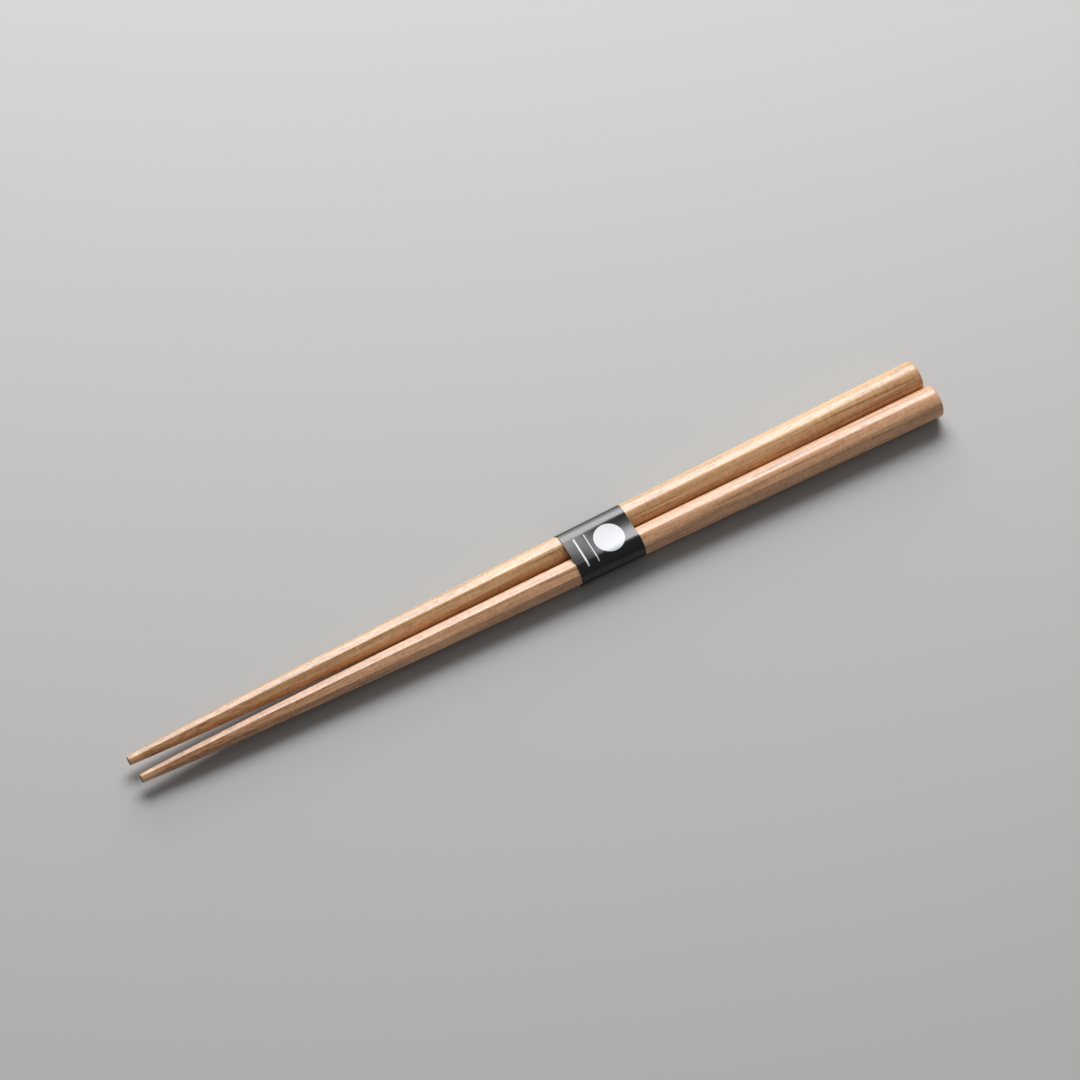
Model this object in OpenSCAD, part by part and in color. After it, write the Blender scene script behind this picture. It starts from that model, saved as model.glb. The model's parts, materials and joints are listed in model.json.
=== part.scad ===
// A pair of wooden chopsticks with planed sides, held side by side by a paper band.
// X runs along the sticks from the tips to the butts, and +Y is the back stick's side.
// The pair lies on z = 0, on its butts and on the band, with the tips clear of the surface.

/* [Chopsticks] */
// Length of each stick from tip to butt
stick_l = 225; // [190:1:260]
// Width across the soft corners at the butt
butt_d = 8.6; // [7.5:0.1:10.5]
// Width across the soft corners at the tip
tip_d = 2.3; // [1.8:0.05:3.5]
// Bow of the taper, where a smaller value fills the stick out sooner behind its tip
taper_bow = 0.1; // [0.06:0.01:0.6]
// Number of planed sides
sides = 8; // [6:1:9]
// Radius of the corners at the tip, as a share of half the width
tip_soft = 0.2; // [0.1:0.05:0.6]
// Radius of the corners at the butt, as a share of half the width
butt_soft = 0.8; // [0.3:0.05:0.9]
// How late the corners soften towards the butt, where 1 is evenly along the stick
soft_late = 2.5; // [1:0.1:4]
// Rounding of the rim at the butt
butt_round = 0.6; // [0.2:0.1:1.2]
// Rounding of the rim at the tip
tip_round = 0.2; // [0.1:0.05:0.5]

/* [Lay] */
// Lean of the back stick's top corner towards the front, in degrees
back_roll = 12; // [-25:1:25]
// Lean of the front stick's top corner towards the front, in degrees
front_roll = 5; // [-25:1:25]
// Distance that the front stick is set towards the butt end
front_shift = 0.6; // [0:0.05:3]
// Room between the sticks at the band and at the butts
stick_gap = 0.25; // [0.1:0.05:0.5]

/* [Paper band] */
// Width of the band along the sticks
band_w = 18; // [10:1:30]
// Distance from the back stick's butt to the middle of the band
band_from_butt = 95.5; // [60:0.5:120]
// Thickness of the paper
paper_t = 0.12; // [0.1:0.01:0.3]
// Room between the paper and the sticks
band_slack = 0.04; // [0.03:0.01:0.2]
// Radius that the paper keeps over the sticks' corners, as a share of half the width
paper_soft = 0.75; // [0.4:0.05:0.9]
// Depth that the paper is pressed in between the sticks, at the band's edge nearest the butts
hollow_depth = 0.35; // [0.1:0.05:0.6]
// The same depth at the edge nearest the tips
hollow_end_depth = 0.15; // [0.05:0.05:0.6]
// Width of the glued lap under the sticks
lap_w = 5; // [3:0.5:5.5]

/* [Hidden] */

// Fineness: sections along the taper, closer near the tip, and steps round a corner and a rim
body_steps = 28;
tip_crowding = 1.4;
corner_steps = 4;
rim_steps = 4;

// Fineness of the band: sections along it, and steps round the loop and across the hollow
band_steps = 4;
loop_steps = 84;
hollow_steps = 14;
wood_back = [0.62, 0.44, 0.24];
wood_front = [0.66, 0.48, 0.31];
band_black = [0.05, 0.05, 0.055];

// Directions in the YZ plane, in degrees from +Y
to_back = 0;
to_front = 180;
down = 270;

// Each stick: its roll, the direction of the other stick, and where its tip lies along X
BACK = [back_roll, to_front, -(stick_l + front_shift) / 2];
FRONT = [front_roll, to_back, front_shift - (stick_l + front_shift) / 2];
function roll_of(stick) = stick[0];
function inward_of(stick) = stick[1];
function tip_x(stick) = stick[2];

// The sticks rest on the paper at the band's edge nearest the butts
band_edge_x = tip_x(BACK) + stick_l - band_from_butt + band_w / 2;
band_floor = 2 * paper_t;

// Half the width across the corners, at a distance from the tip
function half_width(along) =
    (tip_d + (butt_d - tip_d) * ln(1 + along / stick_l / taper_bow) / ln(1 + 1 / taper_bow)) / 2;

// Corner radius there, as a share of that half width
function soft(along) = tip_soft + (butt_soft - tip_soft) * pow(along / stick_l, soft_late);

// How far the section there reaches from the axis in a direction
function corner_angle(index, roll) = 90 + roll + index * 360 / sides;
function reach(direction, roll, along) =
    half_width(along) * (soft(along) + (1 - soft(along))
    * max([for (index = [0 : sides - 1]) cos(direction - corner_angle(index, roll))]));

// Axis of a stick at a distance from its tip, with its underside at a given height: [y, z]
function axis_at(stick, along, underside) =
    let (inward = reach(inward_of(stick), roll_of(stick), along) + stick_gap / 2)
    [-cos(inward_of(stick)) * inward, underside + reach(down, roll_of(stick), along)];

// The two places where a stick is held: on the band's inside and on the surface at its butt
butt_along = stick_l - butt_round;
function band_along(stick) = band_edge_x - tip_x(stick);
function held_at_band(stick) = axis_at(stick, band_along(stick), band_floor + band_slack);
function held_at_butt(stick) = axis_at(stick, butt_along, 0);

// Points of one section with soft corners, in the stick's own frame
function section(along, half, roll) = [
    for (index = [0 : sides - 1], step = [0 : corner_steps])
        let (corner = corner_angle(index, roll), turn = corner + (step / corner_steps - 0.5) * 360 / sides)
        [
            along,
            half * ((1 - soft(along)) * cos(corner) + soft(along) * cos(turn)),
            half * ((1 - soft(along)) * sin(corner) + soft(along) * sin(turn))
        ]
];

// Stations from tip to butt: [distance from the tip, how far the rim is drawn in]
stations = concat(
    [for (step = [0 : rim_steps]) let (a = 90 * step / rim_steps)
        [tip_round * (1 - cos(a)), tip_round * (1 - sin(a))]],
    [for (step = [1 : body_steps - 1])
        [tip_round + (butt_along - tip_round) * pow(step / body_steps, tip_crowding), 0]],
    [for (step = [0 : rim_steps]) let (a = 90 * step / rim_steps)
        [butt_along + butt_round * sin(a), butt_round * (1 - cos(a))]]
);

// One stick along +X with its tip at the origin, lofted through the sections
module stick_body(roll) {
    round_count = sides * (corner_steps + 1);
    last = len(stations) - 1;
    points = [for (place = stations) each section(place[0], half_width(place[0]) - place[1], roll)];
    skin = [
        for (ring = [0 : last - 1], index = [0 : round_count - 1])
            let (next = (index + 1) % round_count, near = ring * round_count, far = near + round_count)
            [near + index, far + index, far + next, near + next]
    ];
    tip_face = [for (index = [0 : round_count - 1]) index];
    butt_face = [for (index = [round_count - 1 : -1 : 0]) last * round_count + index];
    polyhedron(points, concat(skin, [tip_face, butt_face]));
}

// Lays a stick on the band and on its butt
module lay(stick) {
    band = held_at_band(stick);
    butt = held_at_butt(stick);
    run = butt_along - band_along(stick);
    yaw = atan2(butt[0] - band[0], run);
    pitch = atan2(butt[1] - band[1], run);
    translate([tip_x(stick) + butt_along, butt[0], butt[1]])
        rotate([0, -pitch, yaw])
            translate([-butt_along, 0, 0])
                children();
}

module chopstick_back() {
    color(wood_back) lay(BACK) stick_body(roll_of(BACK));
}

module chopstick_front() {
    color(wood_front) lay(FRONT) stick_body(roll_of(FRONT));
}

// Axis of a stick where it passes a given place along X: [y, z]
function axis_past(stick, x) =
    let (band = held_at_band(stick), butt = held_at_butt(stick))
    band + (butt - band) * (x - band_edge_x) / (tip_x(stick) + butt_along - band_edge_x);

// Circles that the paper bends round at a stick's corners: [middle, radius]
function bend(stick, index, x) =
    let (
        along = x - tip_x(stick),
        angle = corner_angle(index, roll_of(stick)),
        share = max(paper_soft, soft(along))
    )
    [axis_past(stick, x) + half_width(along) * (1 - share) * [cos(angle), sin(angle)], half_width(along) * share];
function bends(x) = [for (stick = [BACK, FRONT], index = [0 : sides - 1]) bend(stick, index, x)];

// Below, within 60 degrees of straight down, the paper keeps the shape that it has at that edge
function is_lower(index, stick) = sin(corner_angle(index, roll_of(stick))) < -sin(30);
lower_bends = [
    for (stick = [BACK, FRONT], index = [0 : sides - 1])
        if (is_lower(index, stick)) bend(stick, index, band_edge_x)
];

// The bend that reaches furthest in a direction
function furthest(angle, x) =
    let (
        places = concat(bends(x), lower_bends),
        reaches = [for (place = places) place[0] * [cos(angle), sin(angle)] + place[1]]
    )
    places[search(max(reaches), reaches)[0]];

// On top, the strip hangs in a shallow arc that touches the top bend of each stick:
// [direction up from the line between them, angle to where it touches, middle, radius]
function hollow(x) =
    let (
        back = bend(BACK, 0, x),
        front = bend(FRONT, 0, x),
        line = back[0] - front[0],
        up = atan2(line[1], line[0]) + 90,
        depth = hollow_depth + (hollow_end_depth - hollow_depth) * (band_edge_x - x) / band_w,
        radius = (pow(norm(line) / 2, 2) + pow(depth, 2)) / (2 * depth)
    )
    [
        up,
        asin(norm(line) / 2 / radius),
        (back[0] + front[0]) / 2 + (radius - depth) * [cos(up), sin(up)],
        radius - (back[1] + front[1]) / 2
    ];

// Points of the strip's outline at a place along X, from the front stick's top round to the hollow.
// Nothing goes below the surface, so the underside is flat.
function loop_bend(angle, up, x) =
    angle < up ? bend(FRONT, 0, x) : angle > up + 360 ? bend(BACK, 0, x) : furthest(angle, x);
function loop_outline(x, grow) =
    let (dip = hollow(x), up = dip[0], touch = dip[1])
    concat(
        [for (step = [0 : loop_steps])
            let (
                angle = up - touch + (360 + 2 * touch) * step / loop_steps,
                place = loop_bend(angle, up, x),
                at = place[0] + (place[1] + grow) * [cos(angle), sin(angle)]
            )
            [x, at[0], max(at[1], band_floor + band_slack - grow)]],
        [for (step = [1 : hollow_steps - 1])
            let (
                angle = up + 180 + touch - 2 * touch * step / hollow_steps,
                at = dip[2] + (dip[3] - grow) * [cos(angle), sin(angle)]
            )
            [x, at[0], at[1]]]
    );

// The strip goes once round the sticks, tight along their taper
module paper_loop() {
    count = loop_steps + hollow_steps;
    points = [
        for (step = [0 : band_steps], grow = [band_slack + paper_t, band_slack])
            each loop_outline(band_edge_x - band_w + band_w * step / band_steps, grow)
    ];
    function outer(step, index) = step * 2 * count + index % count;
    function inner(step, index) = outer(step, index) + count;
    sheet = [
        for (step = [0 : band_steps - 1], index = [0 : count - 1]) each [
            [outer(step, index), outer(step + 1, index), outer(step + 1, index + 1), outer(step, index + 1)],
            [inner(step, index), inner(step, index + 1), inner(step + 1, index + 1), inner(step + 1, index)]
        ]
    ];
    cut_edges = [
        for (index = [0 : count - 1]) each [
            [outer(0, index), outer(0, index + 1), inner(0, index + 1), inner(0, index)],
            [inner(band_steps, index), inner(band_steps, index + 1), outer(band_steps, index + 1),
                outer(band_steps, index)]
        ]
    ];
    polyhedron(points, concat(sheet, cut_edges));
}

// The strip's end is glued over its start on the underside, and stops just short of the cut edges
module paper_band() {
    lap_short = paper_t;
    color(band_black) {
        paper_loop();
        translate([band_edge_x - band_w + lap_short, -lap_w / 2, 0])
            cube([band_w - 2 * lap_short, lap_w, 1.5 * paper_t]);
    }
}

chopstick_back();
chopstick_front();
paper_band();
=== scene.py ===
# %% [markdown]
# # A pair of chopsticks in a paper band
#
# Two wooden sticks lie side by side on a table, and a loop of glossy black paper holds them
# together near the middle. Their exact shapes come from the CAD model, in metres, with X along
# the sticks and Z up. This lesson turns those shapes into clean meshes and gives them the finish
# of the real thing: planed, oiled wood with a fine grain, and printed paper.
#
# We clear Blender's default scene first, and we keep the model's box.

# %% Load the model
import json
import math

import bmesh
import bpy
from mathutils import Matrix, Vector, noise

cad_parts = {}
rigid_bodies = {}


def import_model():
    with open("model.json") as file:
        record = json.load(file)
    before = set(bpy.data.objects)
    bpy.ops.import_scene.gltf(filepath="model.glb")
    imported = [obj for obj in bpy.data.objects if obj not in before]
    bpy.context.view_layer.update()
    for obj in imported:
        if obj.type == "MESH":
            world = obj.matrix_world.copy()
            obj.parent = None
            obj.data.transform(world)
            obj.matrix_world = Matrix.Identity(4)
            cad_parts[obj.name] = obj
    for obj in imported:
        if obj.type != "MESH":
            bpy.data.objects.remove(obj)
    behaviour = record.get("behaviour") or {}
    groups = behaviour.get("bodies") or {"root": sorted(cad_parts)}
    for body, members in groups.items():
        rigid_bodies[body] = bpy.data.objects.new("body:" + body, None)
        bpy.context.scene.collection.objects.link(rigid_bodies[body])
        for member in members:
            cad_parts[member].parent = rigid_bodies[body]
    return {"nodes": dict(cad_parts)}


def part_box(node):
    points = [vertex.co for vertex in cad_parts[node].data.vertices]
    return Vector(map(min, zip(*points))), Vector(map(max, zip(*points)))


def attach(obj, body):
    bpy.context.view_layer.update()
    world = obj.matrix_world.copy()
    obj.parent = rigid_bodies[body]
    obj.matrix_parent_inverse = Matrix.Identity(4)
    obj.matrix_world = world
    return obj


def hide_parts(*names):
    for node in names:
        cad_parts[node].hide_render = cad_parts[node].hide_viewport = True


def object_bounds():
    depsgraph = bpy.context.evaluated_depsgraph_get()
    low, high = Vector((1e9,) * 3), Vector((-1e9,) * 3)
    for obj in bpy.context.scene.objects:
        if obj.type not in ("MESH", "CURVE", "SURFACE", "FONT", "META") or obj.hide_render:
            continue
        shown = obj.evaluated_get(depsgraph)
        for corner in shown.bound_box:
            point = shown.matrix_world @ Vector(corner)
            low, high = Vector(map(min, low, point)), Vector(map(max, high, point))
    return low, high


for left_over in list(bpy.data.objects):
    bpy.data.objects.remove(left_over)

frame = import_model()
cad_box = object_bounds()
MM = 0.001
print("nodes:", sorted(frame["nodes"]))
print("box in mm:", [[round(value / MM, 2) for value in corner] for corner in cad_box])

# %% [markdown]
# ## The camera
#
# The view looks down at the table, with the tips near the lower left and the butts further away
# on the right. A camera could be dragged into place by eye, but it is easier to describe it as a
# photographer would: the point it aims at, its height as an angle, how far it has walked round
# the table, and a long lens. With these, one short function turns angles into a direction.

# %% Camera
scene = bpy.context.scene
scene.view_settings.view_transform = "Standard"

TABLE_TURN = math.radians(28.895)
CAMERA_HEIGHT = math.radians(60.0)
CAMERA_DISTANCE = 0.95
CAMERA_NEAREST = 0.01
FIELD_OF_VIEW = math.radians(16.28)
aim = Vector((5.49, 10.60, 0.0)) * MM


def toward(turn, height):
    """The direction at a turn round the table, from its far side, and at a height angle."""
    level = math.cos(height)
    return Vector((level * math.sin(turn), level * math.cos(turn), math.sin(height)))


def stand_at(thing, place, target):
    """Puts a lamp or a camera at a place and turns it towards a target."""
    thing.location = place
    thing.rotation_euler = (target - place).to_track_quat("-Z", "Y").to_euler()
    scene.collection.objects.link(thing)


camera = bpy.data.objects.new("camera", bpy.data.cameras.new("camera"))
camera.data.sensor_fit = "HORIZONTAL"
camera.data.angle = FIELD_OF_VIEW
camera.data.clip_start = CAMERA_NEAREST
stand_at(camera, aim + CAMERA_DISTANCE * toward(TABLE_TURN + math.pi, CAMERA_HEIGHT), aim)
scene.camera = camera
print("lens in mm:", round(camera.data.lens, 1))

# %% [markdown]
# ## The light
#
# Two big soft lamps stand on the far side of the table: a window, and below it a bright wall. A
# shiny flat mirrors the place that it happens to face, so the window lights the tops of the
# sticks, and the low wall lights the sides that lean further back. One small lamp would only draw
# thin lines there. The shadows fall towards the camera, and as the rest of the room is dim, the
# world lifts them only a little.

# %% Light
LAMP_TURN = math.radians(23.0)
LAMP_TARGET = Vector((0.0, 0.0, 0.0))
# A lamp has a height angle, a distance, a width and height of its own, and a power in watts.
LAMPS = {
    "window": (math.radians(44.5), 1.1, (0.94, 0.50), 17.0),
    "bright_wall": (math.radians(17.0), 1.3, (1.3, 0.5), 9.5),
}
ROOM_WHITE = (1.0, 1.0, 1.0, 1.0)
ROOM_LIGHT = 0.235

for name, (height, distance, (wide, tall), power) in LAMPS.items():
    lamp = bpy.data.objects.new(name, bpy.data.lights.new(name, "AREA"))
    lamp.data.shape = "RECTANGLE"
    lamp.data.size = wide
    lamp.data.size_y = tall
    lamp.data.energy = power
    stand_at(lamp, LAMP_TARGET + distance * toward(LAMP_TURN, height), LAMP_TARGET)
    print(name, "radiance:", round(power / (math.pi * wide * tall), 2))

world = bpy.data.worlds.new("dim_room")
world.use_nodes = True
background = world.node_tree.nodes["Background"]
background.inputs["Color"].default_value = ROOM_WHITE
background.inputs["Strength"].default_value = ROOM_LIGHT
scene.world = world

# %% [markdown]
# ## The table
#
# The pair needs something to lie on that takes its shadow. A table with legs and edges could be
# modelled, but they would draw the eye, so one large pale plane with a dull finish is enough.

# %% Table
TABLE_SIZE = 8.0
TABLE_GREY = (0.375, 0.371, 0.365, 1.0)
TABLE_ROUGHNESS = 0.7

table_mesh = bmesh.new()
bmesh.ops.create_grid(table_mesh, x_segments=1, y_segments=1, size=TABLE_SIZE / 2)
table = bpy.data.objects.new("table", bpy.data.meshes.new("table"))
table_mesh.to_mesh(table.data)
table_mesh.free()
scene.collection.objects.link(table)

table_paint = bpy.data.materials.new("table_paint")
table_paint.use_nodes = True
table_shader = table_paint.node_tree.nodes["Principled BSDF"]
table_shader.inputs["Base Color"].default_value = TABLE_GREY
table_shader.inputs["Roughness"].default_value = TABLE_ROUGHNESS
table.data.materials.append(table_paint)
print("table faces:", len(table.data.polygons))

# %% [markdown]
# ## Clean meshes from the CAD solids
#
# The CAD solids arrive as loose triangles, which is enough for a picture but poor to work on. We
# could model the sticks again, yet their taper and soft corners are already exact. So we copy
# each solid, merge the corners that lie on the same spot and join the triangles into long
# four-sided faces. That gives an even mesh that an operator can cut further.

# %% Merge a solid into a clean mesh
MERGE_WITHIN = 0.002 * MM
LARGEST_FOLD = math.radians(20)
LARGEST_SKEW = math.radians(130)


def solid_copy(node):
    """A bmesh with the shape of a CAD node, merged, with its triangles joined in pairs."""
    mesh = bmesh.new()
    mesh.from_mesh(frame["nodes"][node].data)
    bmesh.ops.remove_doubles(mesh, verts=mesh.verts, dist=MERGE_WITHIN)
    bmesh.ops.join_triangles(
        mesh,
        faces=mesh.faces,
        angle_face_threshold=LARGEST_FOLD,
        angle_shape_threshold=LARGEST_SKEW,
    )
    return mesh


def piece_from(mesh, name, node, sharp_angle):
    """A finished, smooth piece that stands for a CAD node and lies where the node lies."""
    piece = bpy.data.objects.new(name, bpy.data.meshes.new(name))
    mesh.to_mesh(piece.data)
    mesh.free()
    scene.collection.objects.link(piece)
    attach(piece, "root")
    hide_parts(node)
    piece.data.shade_smooth()
    piece.data.set_sharp_from_angle(angle=sharp_angle)
    print(name, "has", len(piece.data.polygons), "faces")
    return piece


print("loose triangles:", {name: len(node.data.polygons) for name, node in frame["nodes"].items()})

# %% [markdown]
# ## The sticks
#
# A stick is planed by hand or by machine to eight flat sides with softly broken corners, so its
# flats are never quite true: along the grain they rise and fall by about a hundredth of a
# millimetre, and the light on them wanders. A bump in the material could fake that, but the change
# is a real shape. So we cut the long faces into short ones and push every point in or out by a slow
# noise. Smooth shading rounds the broken corners, and only the sawn ends, which meet the sides at a
# sharp angle, keep a hard edge.

# %% Model the sticks
PLANE_MARK_DEPTH = 0.015 * MM
PLANE_MARK_LENGTH = 40 * MM
LONGEST_FACE = 2.6 * MM
FLAT_END = 0.999
SAWN_EDGE_ANGLE = math.radians(50)
TIP_SIDE = -1
BUTT_SIDE = 1


def whole_end(mesh, side):
    """Makes one face of a stick's sawn end and gives back the middle of it."""
    pieces = [face for face in mesh.faces if face.normal.x * side > FLAT_END]
    return bmesh.ops.dissolve_faces(mesh, faces=pieces)["region"][0].calc_center_median()


def cut_shorter(mesh, longest):
    """Cuts the faces across the grain until none is longer."""
    while True:
        long_edges = [edge for edge in mesh.edges if edge.calc_length() > longest]
        if not long_edges:
            return
        bmesh.ops.subdivide_edges(mesh, edges=long_edges, cuts=1, use_grid_fill=True)


def plane_marks(mesh, tip, butt, seed):
    """Lets the planed flats rise and fall a little along the grain, but never into the table."""
    axis = (butt - tip).normalized()
    for vert in mesh.verts:
        along = (vert.co - tip).dot(axis)
        outward = (vert.co - tip - along * axis).normalized()
        wander = noise.noise(Vector((along / PLANE_MARK_LENGTH, outward.y + seed, outward.z)))
        vert.co += PLANE_MARK_DEPTH * wander * outward
        vert.co.z = max(vert.co.z, cad_box[0][2])


def planed_stick(name, node, seed):
    """One stick, and where its tip and butt are."""
    mesh = solid_copy(node)
    tip = whole_end(mesh, TIP_SIDE)
    butt = whole_end(mesh, BUTT_SIDE)
    cut_shorter(mesh, LONGEST_FACE)
    plane_marks(mesh, tip, butt, seed)
    return piece_from(mesh, name, node, SAWN_EDGE_ANGLE), tip, butt


back_stick, back_tip, back_butt = planed_stick(
    "back_stick", "chopstick_back", seed=3.0
)
front_stick, front_tip, front_butt = planed_stick(
    "front_stick", "chopstick_front", seed=11.0
)
print("stick length in mm:", round((back_butt - back_tip).length / MM, 2))

# %% [markdown]
# ## Shader maths as plain expressions
#
# A finish is a network of nodes, and a network is hard to read as code. So we wrap a socket in a
# small class: adding or multiplying two wrapped sockets adds the Math node for it, and a pattern
# reads like the formula that it is. Every other node comes from one method, which sets the
# node's settings first and then fills in or links its sockets.

# %% A socket that takes part in expressions


class Wire:
    """A shader socket that can be added, subtracted and multiplied."""

    def __init__(self, tree, socket):
        self.tree = tree
        self.socket = socket

    def add(self, kind, settings=None, sockets=None, output=None):
        """Adds a node to the same tree and gives back one of its outputs."""
        node = self.tree.nodes.new(kind)
        for name, value in (settings or {}).items():
            if name == "stops":
                set_stops(node.color_ramp, value)
            else:
                setattr(node, name, value)
        for name, value in (sockets or {}).items():
            target = next(socket for socket in node.inputs if socket.identifier == name)
            if isinstance(value, Wire):
                self.tree.links.new(value.socket, target)
            else:
                target.default_value = value
        found = [socket for socket in node.outputs if output in (None, socket.identifier)]
        return Wire(self.tree, found[0])

    def math(self, operation, first, second=0.0):
        """Adds a Math node."""
        values = {"Value": first, "Value_001": second}
        return self.add("ShaderNodeMath", {"operation": operation}, values)

    def __add__(self, other):
        return self.math("ADD", self, other)

    def __radd__(self, other):
        return self.math("ADD", other, self)

    def __sub__(self, other):
        return self.math("SUBTRACT", self, other)

    def __rsub__(self, other):
        return self.math("SUBTRACT", other, self)

    def __mul__(self, other):
        return self.math("MULTIPLY", self, other)

    def __rmul__(self, other):
        return self.math("MULTIPLY", other, self)

    def __abs__(self):
        return self.math("ABSOLUTE", self)


def set_stops(color_ramp, stops):
    """Gives a colour ramp its stops, each a place and a colour."""
    while len(color_ramp.elements) < len(stops):
        color_ramp.elements.new(1.0)
    for element, (place, colour) in zip(color_ramp.elements, stops):
        element.position = place
        element.color = colour


print("reflected operators:", [name for name in vars(Wire) if name.startswith("__r")])

# %% [markdown]
# ## Small helpers for patterns
#
# Wood and paper are both made of fibres, so both finishes need the same few things: noise that is
# stretched along the fibres, a soft step from 0 to 1, and a mix of two colours. Each is one or two
# nodes. They could be set up by hand in the shader editor, but as functions they take lengths that
# a ruler could measure, and the same noise serves every pattern.

# %% Pattern helpers
NOISE_MIDDLE = 0.5


def new_finish(name):
    """A material, its shader, and the Object coordinates to build its patterns on."""
    finish = bpy.data.materials.new(name)
    finish.use_nodes = True
    tree = finish.node_tree
    coordinates = tree.nodes.new("ShaderNodeTexCoord").outputs["Object"]
    return finish, tree.nodes["Principled BSDF"], Wire(tree, coordinates)


def fibres(place, size, seed, detail=2.0, roughness=0.55):
    """Noise with grains of a size: how long they are in X, and how wide in Y and Z."""
    long, wide = size
    stretched = place.add(
        "ShaderNodeVectorMath",
        {"operation": "MULTIPLY"},
        {"Vector": place, "Vector_001": (1 / long, 1 / wide, 1 / wide)},
    )
    return place.add(
        "ShaderNodeTexNoise",
        {"noise_dimensions": "4D"},
        {"Vector": stretched, "W": seed, "Scale": 1.0, "Detail": detail, "Roughness": roughness},
    )


def step(value, start, end):
    """A soft step that goes from 0 at the start to 1 at the end."""
    return value.add(
        "ShaderNodeMapRange",
        {"interpolation_type": "SMOOTHSTEP"},
        {"Value": value, "From Min": start, "From Max": end},
    )


def mix(share, first, second, blend="MIX"):
    """A mix of two colours."""
    return share.add(
        "ShaderNodeMix",
        {"data_type": "RGBA", "blend_type": blend},
        {"Factor_Float": share, "A_Color": first, "B_Color": second},
        "Result_Color",
    )


def parts(place):
    """The X, Y and Z of a place."""
    split = place.tree.nodes.new("ShaderNodeSeparateXYZ")
    place.tree.links.new(place.socket, split.inputs["Vector"])
    return [Wire(place.tree, output) for output in split.outputs]


def link(wire, shader, socket):
    """Feeds a pattern into one of the shader's sockets."""
    wire.tree.links.new(wire.socket, shader.inputs[socket])


def relief(height, shader, strength, distance):
    """Makes a pattern stand out as a fine relief."""
    sockets = {"Strength": strength, "Distance": distance, "Height": height}
    link(height.add("ShaderNodeBump", None, sockets), shader, "Normal")


helpers = (new_finish, fibres, step, mix, parts, link, relief)
print("helpers:", [helper.__name__ for helper in helpers])

# %% [markdown]
# ## The grain of the wood
#
# The sticks are a fine hardwood. Growth layers run along a stick as a few dark lines. Fibres make
# streaks a fraction of a millimetre wide and centimetres long, and faint flecks lie across them. A
# picture of wood could be wrapped round the stick, but then the ends wouldn't fit the sides. These
# are solid patterns in the stick's own direction, so the sides show streaks and the sawn ends show
# dots, as in real wood.

# %% Grain of the wood
# Sizes are the length and the width of a pattern's grains.
WANDER_SIZE = (70 * MM, 6 * MM)
PATCH_SIZE = (45 * MM, 2.5 * MM)
STREAK_SIZE = (28 * MM, 0.26 * MM)
DRIFT_SIZE = (50 * MM, 2.4 * MM)
FLECK_SIZE = (0.7 * MM, 1.6 * MM)
# Steps are the values at which a pattern starts to show and shows in full.
PATCH_STEP = (0.42, 0.62)
LINE_STEP = (0.04, 0.30)
# Shares say how much a pattern counts.
WANDER_SHARE = 1.6
STREAK_SHARE = 1.5
DRIFT_SHARE = 0.8
FLECK_SHARE = 0.5
LINE_SHARE = 0.3


def along_stick(place, tip, butt):
    """Coordinates that start at the tip and run along the stick."""
    turn = (butt - tip).to_track_quat("X", "Z").to_euler()
    return place.add(
        "ShaderNodeMapping",
        {"vector_type": "TEXTURE"},
        {"Vector": place, "Location": tip, "Rotation": turn},
    )


def growth_lines(place, layer_gap, layer_turn, seed):
    """Lines between growth layers that wander a little and show only in patches."""
    _, sideways, upward = parts(place)
    sideways_rate = math.cos(layer_turn) / layer_gap
    upward_rate = math.sin(layer_turn) / layer_gap
    depth = sideways * sideways_rate + upward * upward_rate
    wander = fibres(place, WANDER_SIZE, seed)
    wave = abs(depth.math("SINE", (depth + wander * WANDER_SHARE) * math.pi))
    shown = step(fibres(place, PATCH_SIZE, seed + 5, detail=1.0), *PATCH_STEP)
    return (1 - step(wave, *LINE_STEP)) * shown


def grain_tone(place, streaks, lines, seed):
    """How light the wood is, on a scale from 0 to 1."""
    drift = fibres(place, DRIFT_SIZE, seed + 2)
    flecks = fibres(place, FLECK_SIZE, seed + 4)
    tone = NOISE_MIDDLE
    for pattern, share in ((streaks, STREAK_SHARE), (drift, DRIFT_SHARE), (flecks, FLECK_SHARE)):
        tone = tone + (pattern - NOISE_MIDDLE) * share
    return tone - lines * LINE_SHARE


print("streaks in mm:", [round(side / MM, 2) for side in STREAK_SIZE])

# %% [markdown]
# ## Stains, sawn ends and painted shade at the tip
#
# Towards the tips the wood is stained darker, as a light wash with darker dashes along the fibres,
# and the last few millimetres are bare and pale again. The sawn ends drink more oil than the sides
# and turn dark. The end at the tip is darkened further with painted shade, as it faces away from
# the lamps. It could be painted on the mesh by hand, but all of it depends only on how far a
# place is from the tip, so soft steps along the stick do it.

# %% Stains, sawn ends and painted shade at the tip
STAIN_SIZE = (3.2 * MM, 0.30 * MM)
STAIN_STEP = (0.52, 0.58)
STAIN_SHADE = (0.54, 0.35, 0.19, 1.0)
STAIN_WASH = 0.35
STAIN_DASHES = 0.6
STAIN_REACH = (4 * MM, 85 * MM)
BARE_REACH = (1.5 * MM, 6 * MM)
BARE_SHARE = 0.55
# Dark end grain; at the tip it also stands for painted shade, as that end faces away from the
# lamps.
END_GRAIN_AND_PAINTED_SHADE = (0.24, 0.18, 0.14, 1.0)
TIP_GRAIN_AND_SHADE_REACH = (0.12 * MM, 0.30 * MM)
TIP_GRAIN_AND_SHADE_SHARE = 0.9
BUTT_GRAIN_REACH = (0.30 * MM, 0.08 * MM)
BUTT_GRAIN_SHARE = 0.5


def stained_tip(place, wood, pale, seed):
    """The wood's colour with its stains, and with the pale colour at the bare tip."""
    along = parts(place)[0]
    stains = step(fibres(place, STAIN_SIZE, seed + 6), *STAIN_STEP)
    near_tip = 1 - step(along, *STAIN_REACH)
    amount = near_tip * (STAIN_WASH + stains * STAIN_DASHES)
    stained = mix(amount, wood, STAIN_SHADE, "MULTIPLY")
    bare_tip = 1 - step(along, *BARE_REACH)
    return mix(bare_tip * BARE_SHARE, stained, pale)


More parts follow.
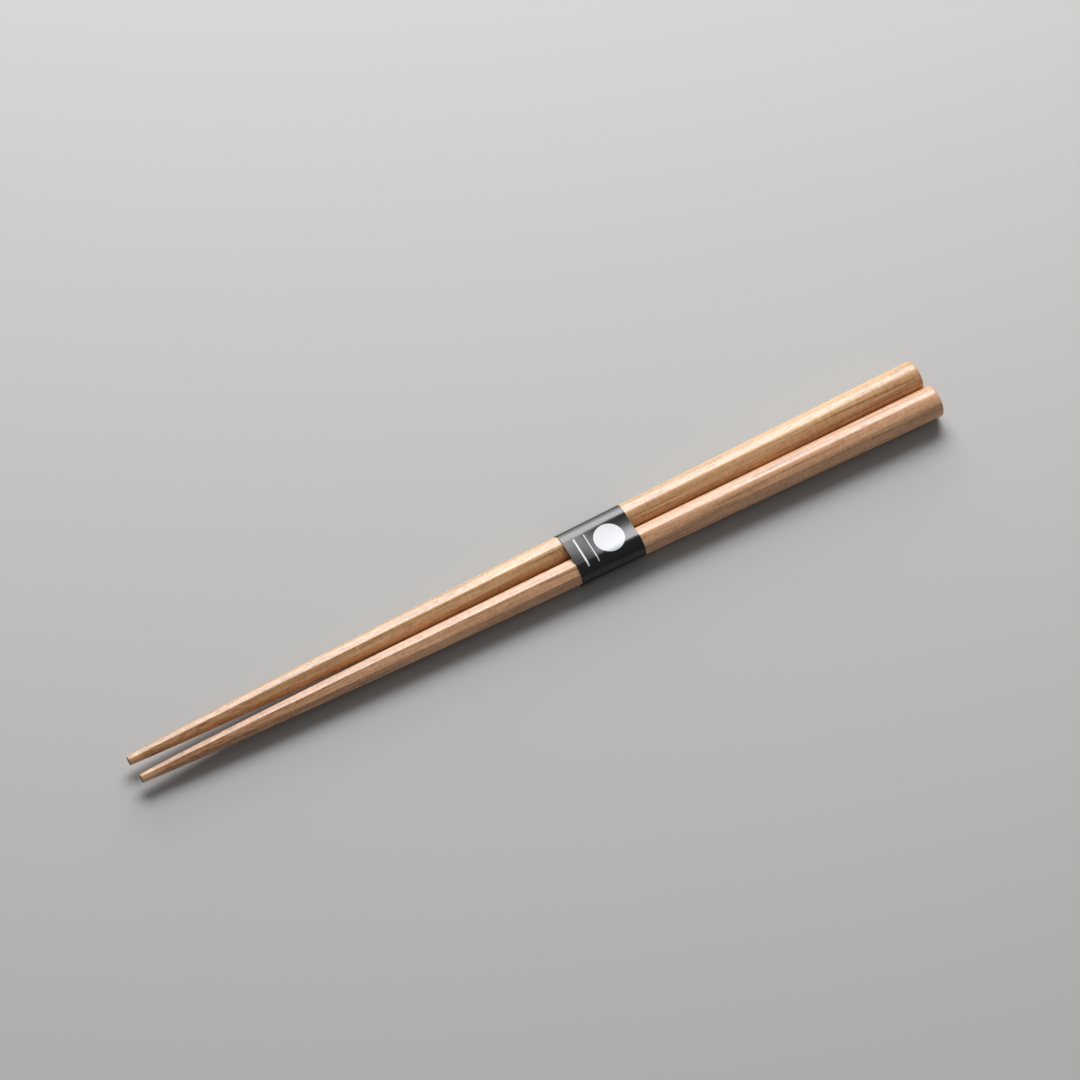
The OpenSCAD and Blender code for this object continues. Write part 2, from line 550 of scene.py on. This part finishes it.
def end_grain_and_tip_shade(place, wood, length):
    """The wood's colour with dark end grain at both sawn ends, and painted shade on the tip's end.
    """
    along = parts(place)[0]
    sawn_butt = step(along, *[length - reach for reach in BUTT_GRAIN_REACH])
    # At the tip the darkening is stronger: partly end grain, partly painted shade.
    sawn_tip_and_shade = 1 - step(along, *TIP_GRAIN_AND_SHADE_REACH)
    amount = sawn_butt * BUTT_GRAIN_SHARE + sawn_tip_and_shade * TIP_GRAIN_AND_SHADE_SHARE
    return mix(amount, wood, END_GRAIN_AND_PAINTED_SHADE, "MULTIPLY")


print("stains end at mm:", round(STAIN_REACH[1] / MM))

# %% [markdown]
# ## Oiled wood
#
# The two sticks come from different boards: one is golden, the other rosier. A colour ramp turns
# the grain's tone into the colours of a board, and open pores show on it as short dark dashes. The
# oil leaves a satin gloss, duller in the pores. Lacquer would call for a clear coat, but oil sinks
# in, so the wood's own gloss and a fine relief of fibres and pores are enough.

# %% Oiled wood
TONE_PLACES = (0.12, 0.5, 0.86)
PORE_SIZE = (2.6 * MM, 0.19 * MM)
PORE_STEP = (0.54, 0.64)
PORE_SHARE = 0.5
OIL_ROUGHNESS = 0.32
PORE_ROUGHNESS = 0.12
STREAK_ROUGHNESS = 0.10
OIL_GLOSS = 0.68
FIBRE_DULLNESS = 1.0
PORE_SINK = 0.8
GRAIN_STRENGTH = 0.16
GRAIN_DEPTH = 0.03 * MM


def oiled_wood(name, tip, butt, tones, layer_gap, layer_turn, seed):
    """Planed wood with growth lines, fibres and pores. The tones go from dark to light."""
    finish, shader, place = new_finish(name)
    place = along_stick(place, tip, butt)
    lines = growth_lines(place, layer_gap, layer_turn, seed)
    streaks = fibres(place, STREAK_SIZE, seed + 1, detail=4.0, roughness=0.6)
    pores = step(fibres(place, PORE_SIZE, seed + 3), *PORE_STEP)

    tone = grain_tone(place, streaks, lines, seed)
    stops = list(zip(TONE_PLACES, tones))
    grain = tone.add("ShaderNodeValToRGB", {"stops": stops}, {"Fac": tone}, "Color")
    with_pores = mix(pores * PORE_SHARE, grain, tones[0])
    stained = stained_tip(place, with_pores, tones[-1], seed)
    link(end_grain_and_tip_shade(place, stained, (butt - tip).length), shader, "Base Color")

    uneven = (streaks - NOISE_MIDDLE) * STREAK_ROUGHNESS
    link(OIL_ROUGHNESS + pores * PORE_ROUGHNESS + uneven, shader, "Roughness")
    relief(streaks - pores * PORE_SINK, shader, GRAIN_STRENGTH, GRAIN_DEPTH)
    shader.inputs["Diffuse Roughness"].default_value = FIBRE_DULLNESS
    shader.inputs["Specular IOR Level"].default_value = OIL_GLOSS
    return finish


golden_wood = oiled_wood(
    "golden_wood",
    back_tip,
    back_butt,
    tones=[(0.34, 0.17, 0.065, 1.0), (0.76, 0.46, 0.215, 1.0), (0.88, 0.61, 0.35, 1.0)],
    layer_gap=1.9 * MM,
    layer_turn=math.radians(65),
    seed=2.0,
)
rosy_wood = oiled_wood(
    "rosy_wood",
    front_tip,
    front_butt,
    tones=[(0.37, 0.18, 0.085, 1.0), (0.77, 0.44, 0.235, 1.0), (0.89, 0.60, 0.375, 1.0)],
    layer_gap=2.6 * MM,
    layer_turn=math.radians(25),
    seed=7.0,
)
back_stick.data.materials.append(golden_wood)
front_stick.data.materials.append(rosy_wood)
print("wood nodes:", len(golden_wood.node_tree.nodes))

# %% [markdown]
# ## The paper band
#
# The band is one strip of coated paper, wrapped once round both sticks and glued to itself below.
# A press of the thumb has pushed it in between the sticks. It could be a sheet with a Solidify
# modifier, but the CAD solid already has the paper's thickness, its hollow and the glued lap, so we
# take a clean copy of it. Towards the tips the paper was pressed less and has sprung back by a
# fraction of a millimetre, which shows in how the gloss fades out there, so we lift it a little.
# Smooth shading lets the light run round the folds of the paper, and the cut edges stay sharp.

# %% Model the band
SPRUNG_BACK = 0.34 * MM
HOLLOW_REACH = 3.7 * MM
CUT_EDGE_ANGLE = math.radians(40)
band_low, band_high = [Vector(corner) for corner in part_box("paper_band")]
band_middle = (band_low + band_high) / 2
band_width = band_high.x - band_low.x


def spring_back(mesh):
    """Lifts the paper between the sticks, most at its end towards the tips."""
    for vert in mesh.verts:
        across = min(abs(vert.co.y) / HOLLOW_REACH, 1.0)
        toward_tips = (band_high.x - vert.co.x) / band_width
        if vert.co.z > band_middle.z:
            vert.co.z += SPRUNG_BACK * toward_tips * (1 - across * across)


band_mesh = solid_copy("paper_band")
spring_back(band_mesh)
band = piece_from(band_mesh, "band", "paper_band", CUT_EDGE_ANGLE)
print("band in mm:", [round(value / MM, 2) for value in band_high - band_low])

# %% [markdown]
# ## The print
#
# The strip is printed black all over, with a plain white spot and two thin rules left in white. A
# print can be an image, but simple shapes are sharper as formulas: a spot is a distance from its
# middle, and a rule is a distance from a line. The shapes are drawn from above, and a mask keeps
# them off the underside.

# %% Print on the paper
SPOT_MIDDLE = band_middle + Vector((2.1 * MM, -0.95 * MM, 0.0))
SPOT_RADIUS = 3.98 * MM
# A rule has a place along the sticks and a width.
RULES = [(band_middle.x - 6.1 * MM, 0.45 * MM), (band_middle.x - 3.2 * MM, 0.25 * MM)]
RULE_MIDDLE = band_middle.y - 1.3 * MM
RULE_LENGTH = 8.3 * MM
PRINT_EDGE = 0.04 * MM
UPPER_SIDE = (band_middle.z, band_middle.z + 1 * MM)


def inside(distance, reach):
    """1 where a distance is less than the reach, with the soft edge of a print."""
    return 1 - step(distance, reach - PRINT_EDGE, reach + PRINT_EDGE)


black_paper, paper_shader, paper_place = new_finish("black_paper")
paper_x, paper_y, paper_z = parts(paper_place)

spot_x = paper_x - SPOT_MIDDLE.x
spot_y = paper_y - SPOT_MIDDLE.y
from_spot = paper_place.math("SQRT", spot_x * spot_x + spot_y * spot_y)
white = inside(from_spot, SPOT_RADIUS)
beside_rules = inside(abs(paper_y - RULE_MIDDLE), RULE_LENGTH / 2)
for rule_x, rule_width in RULES:
    white = white + inside(abs(paper_x - rule_x), rule_width / 2) * beside_rules
white = white * step(paper_z, *UPPER_SIDE)
print("spot in mm:", round(2 * SPOT_RADIUS / MM, 2), "and rules:", len(RULES))

# %% [markdown]
# ## Varnished paper
#
# Over the ink lies a varnish, glossy over a faint tooth of fibres, and duller on the white print.
# Where the strip was cut, the grey paper shows through the black. A second material could cover
# the cut edges, but a distance from the middle of the band finds them in the same one.

# %% Varnished paper
INK_BLACK = (0.007, 0.007, 0.008, 1.0)
PAPER_WHITE = (0.63, 0.64, 0.66, 1.0)
CUT_GREY = (0.035, 0.034, 0.033, 1.0)
CUT_REACH = (0.04 * MM, 0.01 * MM)
CUT_SHARE = 0.4
WEAR_SHARE = 0.6
WEAR_SIZE = (2.5 * MM, 2.5 * MM)
TOOTH_SIZE = (0.5 * MM, 0.12 * MM)
TOOTH_STRENGTH = 0.12
TOOTH_DEPTH = 0.01 * MM
VARNISH_ROUGHNESS = 0.24
WEAR_ROUGHNESS = 0.08
CUT_ROUGHNESS = 0.4
PRINT_ROUGHNESS = 0.33

tooth = fibres(paper_place, TOOTH_SIZE, seed=5.0, detail=3.0)
wear = fibres(paper_place, WEAR_SIZE, seed=9.0, detail=4.0)
from_middle = abs(paper_x - band_middle.x)
cut_edge = step(from_middle, *[band_width / 2 - reach for reach in CUT_REACH])
ink = mix(cut_edge * (CUT_SHARE + wear * WEAR_SHARE), INK_BLACK, CUT_GREY)
link(mix(white, ink, PAPER_WHITE), paper_shader, "Base Color")

varnish = VARNISH_ROUGHNESS + (wear - NOISE_MIDDLE) * WEAR_ROUGHNESS
link(varnish + cut_edge * CUT_ROUGHNESS + white * PRINT_ROUGHNESS, paper_shader, "Roughness")
relief(tooth, paper_shader, TOOTH_STRENGTH, TOOTH_DEPTH)
band.data.materials.append(black_paper)
print("paper nodes:", len(black_paper.node_tree.nodes))

# %% [markdown]
